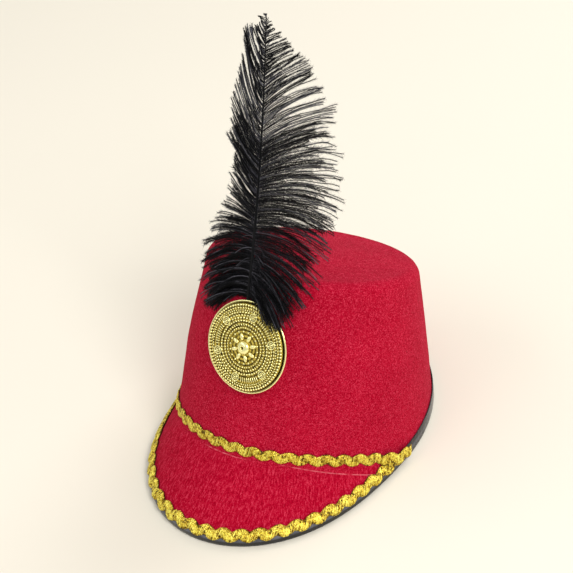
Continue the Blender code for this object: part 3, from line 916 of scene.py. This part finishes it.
def lathe(name, profile, stations):
    # profile rows: radius, height, and the painted light and shade there, dark in recesses and bright on
    # raised parts
    turn = np.linspace(0, 2 * np.pi, stations, endpoint=False)
    rings = [np.stack([r * np.cos(turn), r * np.sin(turn), z + 0 * turn], -1) for r, z, _ in profile]
    points = np.concatenate([*rings, [(0, 0, profile[0][1]), (0, 0, profile[-1][1])]])
    paintedCastLight = [row[2] for row in profile for _ in turn] + [profile[0][2], profile[-1][2]]
    faces = gridFaces(len(profile), stations) + poleFaces(len(profile), stations)
    return makeMesh(name, points, faces, casting, place=discPlace, values={"paintedCastLight": paintedCastLight})


def medallionPlates():
    radius, wire, back, pad = disc["radius"], disc["wire"], disc["backGap"], disc["padRadius"]
    # the third column is painted light and shade: the rim wire bright, the recess behind the plate dark, the
    # boss bright on top and dark in its hole
    rim = [(pad, 0.0, 0.3), (pad, back, 0.3), (radius * 0.9, back, 0.3)]
    rim += [(radius - wire + wire * math.cos(t), back + wire + wire * math.sin(t), 1.0)
            for t in np.linspace(-1.6, 2.8, 12)]
    rim += [(radius * 0.945, back + 0.0002, 0.0), (radius * 0.5, back + 0.0004, 0.0)]
    edge = disc["plateEdge"]
    face = [(radius * 0.5, back + 0.0008, 0.0), (radius * 0.88, back + 0.0008, 0.0),
            (radius * edge, discFace - 0.0002, 0.1), (radius * edge, domeHeight(edge), 0.35),
            (radius * (edge - 0.012), domeHeight(0.92) + 0.0001, 0.35)]
    face += [(radius * share, domeHeight(share) - 0.0002, 0.20 + 0.16 * math.cos(share * 75))
             for share in np.linspace(0.90, 0.02, 56)]
    top, size, hole = domeHeight(0.1), disc["bossRadius"], disc["bossHole"]
    boss = [(size, top - 0.0005, 0.1)]
    boss += [(hole + (size - hole) * math.cos(t) ** 0.8, top + disc["bossRise"] * math.sin(t),
              0.4 + 0.6 * math.sin(t)) for t in np.linspace(0.1, math.pi / 2, 9)]
    boss += [(hole * 0.8, top + 0.0021, 0.3), (hole * 0.6, top + 0.0008, 0.0), (0.0001, top + 0.0006, 0.0)]
    plates = (("medallionRim", rim, 128), ("medallionPlate", face, 112), ("medallionBoss", boss, 40))
    for name, profile, stations in plates:
        showPiece(name, lathe(name, profile, stations), "gold_casting", "medallion")


# a ball with painted light and shade: bright on top, dark underneath
def paintedLightBall(tree, given):
    ball = {"Segments": given["Sides"], "Rings": 4, "Radius": 1.0}
    ball = put(tree, "GeometryNodeMeshUVSphere", ball).outputs[0]
    up = put(tree, "ShaderNodeSeparateXYZ", {0: put(tree, "GeometryNodeInputPosition").outputs[0]}).outputs[2]
    return store(tree, ball, "paintedCastLight", calc(tree, "MAXIMUM", timesPlus(tree, up, 1.05, 0.02), 0.0))


def ringPoints(tree, given):
    ring = {"Vertices": given["Count"], "Radius": given["Ring Radius"]}
    ring = put(tree, "GeometryNodeMeshCircle", ring).outputs[0]
    return moved(tree, ring, offset=combine(tree, 0.0, 0.0, given["Height"]))


def spun(tree, geometry, given):
    turned = {"Geometry": geometry, "Rotation": combine(tree, 0.0, 0.0, given["Turn"])}
    return put(tree, "GeometryNodeTransform", turned).outputs[0]


def rotation(tree, x, y, z):
    return put(tree, "FunctionNodeEulerToRotation", {0: combine(tree, x, y, z)}).outputs[0]


def studTree():
    tree, given = geometryTree("studRing", {
        "Int": ("Count", "Sides"), "Vector": ("Stud Size",),
        "Float": ("Ring Radius", "Height", "Slope", "Skew", "Turn", "Panels", "Filled", "Kind")})
    index = put(tree, "GeometryNodeInputIndex").outputs[0]
    panel = calc(tree, "DIVIDE", times(tree, index, given["Panels"]), given["Count"])
    fromMiddle = calc(tree, "ABSOLUTE", calc(tree, "SUBTRACT", calc(tree, "FRACT", panel), 0.5))
    outside = calc(tree, "GREATER_THAN", times(tree, fromMiddle, 2.0), given["Filled"])
    odd = calc(tree, "MODULO", calc(tree, "FLOOR", panel), 2.0)
    fromKind = calc(tree, "ABSOLUTE", calc(tree, "SUBTRACT", odd, given["Kind"]))
    other = calc(tree, "GREATER_THAN", fromKind, 0.6)
    step = calc(tree, "DIVIDE", 2 * math.pi, given["Count"])
    turns = {0: rotation(tree, 0.0, given["Slope"], times(tree, index, step)),
             1: rotation(tree, 0.0, 0.0, given["Skew"])}
    way = put(tree, "FunctionNodeRotateRotation", turns, rotation_space="LOCAL").outputs[0]
    # both are stored before points are dropped, as the index then still counts round the ring
    points = store(tree, ringPoints(tree, given), "drop", calc(tree, "MAXIMUM", outside, other))
    points = store(tree, points, "way", way, "QUATERNION")
    dropped = {"Geometry": points, "Selection": calc(tree, "GREATER_THAN", recall(tree, "drop"), 0.5)}
    points = put(tree, "GeometryNodeDeleteGeometry", dropped, domain="POINT").outputs[0]
    studs = copies(tree, points, paintedLightBall(tree, given), rotation=recall(tree, "way", "QUATERNION"),
                   scale=given["Stud Size"])
    return finishTree(tree, spun(tree, studs, given), given)


def rosetteTree():
    tree, given = geometryTree("rosettes", {
        "Int": ("Count", "Sides"), "Float": ("Ring Radius", "Height", "Rosette Radius", "Wire", "Turn")})
    parts = put(tree, "GeometryNodeJoinGeometry")
    for share, thick in ((1.0, 1.0), (0.52, 0.85)):  # an outer and an inner hoop
        hoop = {"Resolution": 18, "Radius": times(tree, given["Rosette Radius"], share)}
        hoop = put(tree, "GeometryNodeCurvePrimitiveCircle", hoop).outputs[0]
        hoop = sweep(tree, hoop, 5, times(tree, given["Wire"], thick), False)
        # the hoops get a painted highlight
        tree.links.new(store(tree, hoop, "paintedCastLight", 0.9), parts.inputs[0])
    size = vectorCalc(tree, "SCALE", (0.30, 0.30, 0.30), scale=given["Rosette Radius"])
    bead = put(tree, "GeometryNodeTransform", {"Geometry": paintedLightBall(tree, given), "Scale": size})
    tree.links.new(bead.outputs[0], parts.inputs[0])
    placed = copies(tree, ringPoints(tree, given), parts.outputs[0])
    return finishTree(tree, spun(tree, placed, given), given)


def joinMeshes(name, meshes):
    pieces = []
    for mesh in meshes:
        piece = bpy.data.objects.new(name, mesh)
        bpy.context.scene.collection.objects.link(piece)
        pieces.append(piece)
    with bpy.context.temp_override(active_object=pieces[0], object=pieces[0], selected_objects=pieces,
                                   selected_editable_objects=pieces):
        bpy.ops.object.join()
    joined = pieces[0].data
    bpy.data.objects.remove(pieces[0])
    joined.name = name
    return joined


def medallionStuds():
    tree, empty = studTree(), bpy.data.meshes.new("nothing")
    radius, panels = disc["radius"], disc["panels"]
    common = {"Turn": disc["turn"], "Sides": disc["studSides"], "Finish": casting}
    meshes = []
    for label, share, count, size, skew, filled, kind in studRows:
        slope = math.atan2(domeHeight(share - 0.03) - domeHeight(share + 0.03), 0.06 * radius)
        settings = {"Count": count, "Ring Radius": share * radius, "Height": domeHeight(share),
                    "Stud Size": Vector(size) / 1000, "Slope": slope, "Skew": skew,
                    "Panels": float(panels), "Filled": filled, "Kind": kind, **common}
        meshes.append(growMesh(label, tree, settings, empty))
    share = disc["rosetteShare"]
    settings = {"Count": panels, "Ring Radius": share * radius, "Height": domeHeight(share) + 0.0003,
                "Rosette Radius": disc["rosetteRadius"], "Wire": disc["rosetteWire"], **common}
    meshes.append(growMesh("rosettes", rosetteTree(), settings, empty))
    for mesh in meshes:
        mesh.transform(discPlace)
    showPiece("medallionRelief", joinMeshes("medallionRelief", meshes), "gold_casting", "medallion")


medallionPlates()
medallionStuds()


# Black plume

plume = {
    "length": 0.2050,
    "start": 0.0080,
    "sideways": 0.0057,
    "backTilt": math.radians(9.04),
    "lean": math.radians(2.1),
    "sway": 0.0130,
    "longest": 0.0660,
    "quillWidth": 0.0030,
    "quillTip": 0.0007,
    "hairShade": 0.35,  # the hairs carry this share of their barb's shade, so the painted glints stay on the barbs' shafts
    "seed": 3,
    # the last stop is a painted glint: barbs with a high shade turn light grey
    "black": [(0.30, (0.0010, 0.0010, 0.0018)), (0.52, (0.006, 0.006, 0.009)),
              (0.82, (0.130, 0.127, 0.150))],
}
plumePlace = crownPlace(plume["sideways"], plume["backTilt"], hat["gap"] + plume["quillWidth"] / 2)

# the long barbs, the short ones over the quill, and the down that fills the lower half
barbSets = {
    "Barbs": {"Barbs": 195, "Points": 12, "Radius": 0.00028,
              "Fluff": 165, "Fluff Length": 0.0027, "Fluff Radius": 0.000092,
              "First Share": 0.125, "Last Share": 1.0, "Crowding": 1.20, "Reach Share": 1.0,
              "Raggedness": 0.11, "Clump Size": 2.6, "Clumping": 0.55, "Depth": 0.06},
    "Inner": {"Barbs": 120, "Points": 8, "Radius": 0.00024,
              "Fluff": 84, "Fluff Length": 0.0028, "Fluff Radius": 0.000100,
              "First Share": 0.125, "Last Share": 0.97, "Crowding": 1.05, "Reach Share": 0.50,
              "Raggedness": 0.40, "Clump Size": 1.7, "Clumping": 0.2, "Depth": 0.05},
    "Down": {"Barbs": 136, "Points": 9, "Radius": 0.00028,
             "Fluff": 150, "Fluff Length": 0.0045, "Fluff Radius": 0.000155,
             "First Share": 0.122, "Last Share": 0.60, "Crowding": 1.65, "Reach Share": 0.86,
             "Raggedness": 0.20, "Clump Size": 1.6, "Clumping": 0.2, "Depth": 0.08},
}

# share along the quill; then towards the wearer's right and left: a barb's reach and rise and how far its
# tip comes forward, as shares of the longest barb, and how steeply it leaves the quill
vaneRows = [
    (0.120, 0.52, -0.26, -0.02, 0.12, 0.47, -0.19, 0.09, 0.15),
    (0.160, 0.55, -0.23, -0.02, 0.15, 0.55, -0.29, 0.10, 0.05),
    (0.210, 0.57, -0.22, -0.02, 0.20, 0.67, -0.26, 0.06, 0.05),
    (0.270, 0.58, -0.19, 0.00, 0.25, 0.80, -0.17, 0.02, 0.05),
    (0.310, 0.56, -0.06, 0.00, 0.30, 0.86, -0.07, 0.00, 0.20),
    (0.350, 0.46, 0.06, 0.00, 0.40, 0.91, -0.01, 0.00, 0.32),
    (0.390, 0.34, 0.20, 0.01, 0.45, 0.95, 0.05, 0.02, 0.40),
    (0.450, 0.35, 0.28, 0.02, 0.50, 0.97, 0.16, 0.03, 0.50),
    (0.510, 0.42, 0.35, 0.02, 0.55, 0.92, 0.33, 0.05, 0.66),
    (0.600, 0.38, 0.42, 0.02, 0.60, 0.83, 0.42, 0.06, 0.80),
    (0.700, 0.33, 0.50, 0.02, 0.60, 0.66, 0.42, 0.06, 0.90),
    (0.790, 0.30, 0.46, 0.02, 0.60, 0.45, 0.31, 0.06, 0.90),
    (0.880, 0.19, 0.22, 0.01, 0.60, 0.27, 0.15, 0.04, 0.62),
    (0.940, 0.10, 0.09, 0.01, 0.60, 0.14, 0.08, 0.03, 0.54),
    (1.000, 0.02, 0.01, 0.00, 0.50, 0.02, 0.01, 0.01, 0.50),
]


def featherMaterial():
    material, tree, shader = newMaterial("blackFeather", (0.003, 0.003, 0.004), Roughness=0.5,
                                         Specular_IOR_Level=0.16)
    patch = noiseAt(tree, onObject(tree), 160.0, 2.0)
    # painted glints: barbs with a high random shade turn light grey
    tone = timesPlus(tree, patch, 0.4, times(tree, carried(tree, "shade"), 0.6))
    tree.links.new(ramp(tree, tone, *plume["black"]), shader.inputs["Base Color"])
    return material


feather = featherMaterial()


def quillPoint(share):
    up = plume["start"] + plume["length"] * share
    return (-math.tan(plume["lean"]) * up - plume["sway"] * share * share, up, 0.0)


def tableCurve(tree, value, column):
    made = put(tree, "ShaderNodeFloatCurve", {"Value": value})
    mapping = made.mapping
    mapping.use_clip = False
    curve = mapping.curves[0]
    while len(curve.points) < len(vaneRows):
        curve.points.new(0.5, 0.5)
    for spot, row in zip(curve.points, vaneRows):
        spot.location = (row[0], row[column] / 2)  # the curve's own range is too short for whole values
    mapping.update()
    return times(tree, made.outputs[0], 2.0)


def barbOffsets(tree, given, side, t):
    # where each point of each barb lies: its root on the quill, and the way from there
    longest, reachShare, ragged = given["Longest"], given["Reach Share"], given["Raggedness"]
    barb = recall(tree, "barb")
    clump = calc(tree, "FLOOR", calc(tree, "DIVIDE", barb, given["Clump Size"]))

    def chance(low, high, extra, key=barb):
        return randomValue(tree, low, high, key, plus(tree, given["Seed"], extra))

    def shareOf(count):
        even = calc(tree, "MAXIMUM", calc(tree, "DIVIDE", count, given["Barbs"]), 0.0)
        room = calc(tree, "SUBTRACT", given["Last Share"], given["First Share"])
        return timesPlus(tree, calc(tree, "POWER", even, given["Crowding"]), room, given["First Share"])

    share = shareOf(plus(tree, plus(tree, barb, 0.5), chance(-0.4, 0.4, 1)))
    clumpShare = shareOf(times(tree, plus(tree, clump, 0.5), given["Clump Size"]))
    first = 1 if side < 0 else 5
    reach, rise, forward, leave = (tableCurve(tree, share, first + column) for column in range(4))
    grow = plus(tree, chance(-1.0, 0.4, 2, clump), chance(-0.8, 0.3, 12))
    reach = times(tree, times(tree, reach, reachShare), timesPlus(tree, grow, ragged, 1.0))
    stray = plus(tree, chance(-0.5, 0.5, 3, clump), chance(-0.3, 0.3, 13))
    rise = times(tree, timesPlus(tree, times(tree, stray, ragged), reach, rise), reachShare)
    t2 = times(tree, t, t)
    bow = times(tree, t, calc(tree, "SUBTRACT", 1.0, t))
    x = times(tree, reach, t)
    y = timesPlus(tree, times(tree, leave, reach), bow, times(tree, rise, t2))
    # barbs of one clump close in on each other towards their tips
    apart = calc(tree, "SUBTRACT", clumpShare, share)
    apart = times(tree, apart, calc(tree, "DIVIDE", given["Plume Length"], longest))
    y = timesPlus(tree, times(tree, apart, given["Clumping"]), calc(tree, "POWER", t, 0.8), y)
    where = combine(tree, times(tree, t, 1.8), times(tree, barb, 0.37), given["Seed"])
    wave = times(tree, calc(tree, "SUBTRACT", noiseAt(tree, where, 1.0, 1.0), 0.5), t)
    y = timesPlus(tree, wave, times(tree, reach, 0.16), y)
    spread = plus(tree, chance(-1.0, 1.0, 4, clump), times(tree, wave, 2.0))
    depth = times(tree, times(tree, spread, given["Depth"]), t)
    depth = timesPlus(tree, forward, timesPlus(tree, t2, -0.5, times(tree, t, 1.5)), depth)
    offset = vectorCalc(tree, "SCALE", combine(tree, times(tree, x, side), y, depth), scale=longest)
    root = put(tree, "GeometryNodeSampleCurve", {"Curves": given["Geometry"], "Factor": share}, mode="FACTOR",
               use_all_curves=True)
    spot = vectorCalc(tree, "ADD", root.outputs["Position"], offset)
    return spot, reach, chance(0.0, 1.0, 5)


def barbHairs(tree, given, barbs):
    # barbules: short hairs off either side of each barb, closing in on it towards its tip
    dots = put(tree, "GeometryNodeCurveToPoints", {"Curve": barbs, "Count": given["Fluff"]}, mode="COUNT")
    points = store(tree, dots.outputs["Points"], "way", dots.outputs["Tangent"], "FLOAT_VECTOR")
    points = store(tree, points, "shade", times(tree, recall(tree, "shade"), plume["hairShade"]))
    hair = put(tree, "GeometryNodeInputIndex").outputs[0]

    def chance(low, high, extra):
        return randomValue(tree, low, high, hair, plus(tree, given["Seed"], extra))

    tangent = recall(tree, "way", "FLOAT_VECTOR")
    sideways = vectorCalc(tree, "CROSS_PRODUCT", tangent, (0.0, 0.0, 1.0))
    turnAbout = timesPlus(tree, calc(tree, "MODULO", hair, 2.0), 2.0, -1.0)
    sideways = vectorCalc(tree, "SCALE", sideways, scale=times(tree, turnAbout, chance(0.25, 1.25, 6)))
    direction = vectorCalc(tree, "ADD", tangent, sideways)
    direction = vectorCalc(tree, "ADD", direction, combine(tree, 0.0, 0.0, chance(-0.4, 0.4, 8)))
    aimed = put(tree, "FunctionNodeAlignRotationToVector", {"Vector": direction}, axis="Z").outputs[0]
    spike = {"Vertices": 3, "Radius Top": 0.0, "Radius Bottom": given["Fluff Radius"],
             "Depth": given["Fluff Length"]}
    spike = put(tree, "GeometryNodeMeshCone", spike).outputs[0]
    longness = times(tree, chance(0.45, 1.1, 9), recall(tree, "fine"))
    return copies(tree, points, spike, rotation=aimed, scale=combine(tree, 1.0, 1.0, longness))


def barbTree(name, side):
    tree, given = geometryTree(name, {
        "Int": ("Barbs", "Points", "Fluff", "Seed"),
        "Float": ("Longest", "Plume Length", "Radius", "Fluff Length", "Fluff Radius", "First Share",
                  "Last Share", "Crowding", "Reach Share", "Raggedness", "Clump Size", "Clumping", "Depth")})
    lines = numberedLines(tree, given["Barbs"], given["Points"], "barb")
    t = put(tree, "GeometryNodeSplineParameter").outputs["Factor"]
    spot, reach, shade = barbOffsets(tree, given, side, t)
    lines = moved(tree, lines, position=spot)
    lines = store(tree, lines, "fine", calc(tree, "MINIMUM", timesPlus(tree, reach, 1.8, 0.20), 1.0))
    lines = store(tree, lines, "shade", shade)
    taper = timesPlus(tree, calc(tree, "POWER", calc(tree, "SUBTRACT", 1.0, t), 0.8), 0.85, 0.12)
    barbs = put(tree, "GeometryNodeSetCurveRadius", {"Curve": lines, "Radius": taper}).outputs[0]
    both = put(tree, "GeometryNodeJoinGeometry")
    tree.links.new(barbHairs(tree, given, barbs), both.inputs[0])
    tree.links.new(sweep(tree, barbs, 3, given["Radius"], True), both.inputs[0])
    return finishTree(tree, both.outputs[0], given)


def quillCurve():
    curve = bpy.data.curves.new("quillPath", "CURVE")
    curve.dimensions = "3D"
    spline = curve.splines.new("POLY")
    shares = np.linspace(0, 1, 41)
    spline.points.add(len(shares) - 1)
    for spot, share in zip(spline.points, shares):
        spot.co = (*quillPoint(share), 1.0)
    return curve


def plumeBarbs():
    for sideName, side, sideSeed in (("Right", -1.0, 0), ("Left", 1.0, 7)):
        tree = barbTree("barbs" + sideName, side)
        for turn, (setName, sizes) in enumerate(barbSets.items()):
            settings = {**sizes, "Longest": plume["longest"], "Plume Length": plume["length"],
                        "Seed": plume["seed"] + 40 * turn + sideSeed, "Finish": feather}
            name = "plume" + setName + sideName
            mesh = growMesh(name, tree, settings, quillCurve())
            mesh.transform(plumePlace)
            showPiece(name, mesh, "black_feather", "plume")


def plumeQuill():
    turn = np.linspace(0, 2 * np.pi, 10, endpoint=False)
    rings = []
    for share in np.linspace(0, 1, 41):
        half = mix(plume["quillWidth"], plume["quillTip"], share ** 0.7) / 2
        middle = np.array(quillPoint(share))
        rings.append(middle + np.stack([half * np.cos(turn), 0 * turn, half * np.sin(turn)], -1))
    faces = gridFaces(len(rings), len(turn)) + endFaces(len(rings), len(turn))
    faces = [face[::-1] for face in faces]
    points = np.concatenate(rings)
    values = {"shade": np.zeros(len(points))}
    mesh = makeMesh("plumeQuill", points, faces, feather, place=plumePlace, values=values)
    showPiece("plumeQuill", mesh, "black_feather", "plume")


plumeBarbs()
plumeQuill()


# Floor, light and camera

studio = {
    "floorSize": 8.0,
    "floorDrop": 0.0002,
    "floorColour": (0.84, 0.79, 0.68),
    "worldColour": (1.0, 0.985, 0.96),
    "worldStrength": 0.52,
    "lampAim": (0, 0, 0.12),
    # name: place, width, depth, power
    "lamps": {"keyLight": ((1.7, -0.7, 1.9), 1.0, 1.0, 42.0),
              "stripLight": ((-0.95, -0.95, 1.40), 2.0, 0.6, 8.0),
              "backLight": ((0.4, 1.8, 1.6), 1.2, 1.2, 22.0)},
    # the photo's camera in the crown's own frame: degrees round, up and rolled, and its place
    "cameraAngles": (32.221, 23.054, 4.584),
    "cameraPlace": (0.5151, -0.8174, 0.4612),
    "lens": 91.83,
    "shift": (-0.0457, 0.0838),
}


def floorMaterial():
    colour = studio["floorColour"]
    material, tree, shader = newMaterial("paleFloor", colour, Roughness=0.9, Specular_IOR_Level=0.1)
    darker = (*(0.97 * value for value in colour), 1)
    mottled = mixColour(tree, noiseAt(tree, onObject(tree), 3.0, 3.0), darker, colour)
    tree.links.new(mottled, shader.inputs["Base Color"])
    return material


def layFloor():
    half, drop = studio["floorSize"] / 2, -studio["floorDrop"]
    corners = [(-half, -half, drop), (half, -half, drop), (half, half, drop), (-half, half, drop)]
    mesh = bpy.data.meshes.new("studioFloor")
    mesh.from_pydata(corners, [], [(0, 1, 2, 3)])
    mesh.materials.append(floorMaterial())
    floor = bpy.data.objects.new("studioFloor", mesh)
    bpy.context.scene.collection.objects.link(floor)


def setLight():
    world = bpy.data.worlds.new("softSky")
    world.use_nodes = True
    sky = world.node_tree.nodes["Background"].inputs
    sky["Color"].default_value = (*studio["worldColour"], 1)
    sky["Strength"].default_value = studio["worldStrength"]
    bpy.context.scene.world = world
    for name, (place, width, depth, power) in studio["lamps"].items():
        lamp = bpy.data.lights.new(name, "AREA")
        lamp.shape = "RECTANGLE"
        lamp.size, lamp.size_y = width, depth
        lamp.energy = power
        light = bpy.data.objects.new(name, lamp)
        light.location = place
        aim = Vector(studio["lampAim"]) - Vector(place)
        light.rotation_euler = aim.to_track_quat("-Z", "Y").to_euler()
        bpy.context.scene.collection.objects.link(light)
    bpy.context.scene.view_settings.view_transform = "Standard"  # keeps the felt's red as deep as it is


def setCamera():
    azimuth, elevation, roll = (math.radians(value) for value in studio["cameraAngles"])
    level = math.cos(elevation)
    back = Vector((math.sin(azimuth) * level, -math.cos(azimuth) * level, math.sin(elevation)))
    right = Vector((math.cos(azimuth), math.sin(azimuth), 0))
    up = back.cross(right)
    rolledRight = right * math.cos(roll) + up * math.sin(roll)
    rolledUp = up * math.cos(roll) - right * math.sin(roll)
    turn = Matrix((rolledRight, rolledUp, back)).transposed().to_4x4()
    lens = bpy.data.cameras.new("photoCamera")
    lens.sensor_width = 36.0
    lens.lens = studio["lens"]
    lens.shift_x, lens.shift_y = studio["shift"]
    lens.clip_start, lens.clip_end = 0.01, 50.0
    camera = bpy.data.objects.new("photoCamera", lens)
    camera.matrix_world = toFloor @ Matrix.Translation(studio["cameraPlace"]) @ turn
    bpy.context.scene.collection.objects.link(camera)
    bpy.context.scene.camera = camera


layFloor()
setLight()
setCamera()

print("hat dressed")
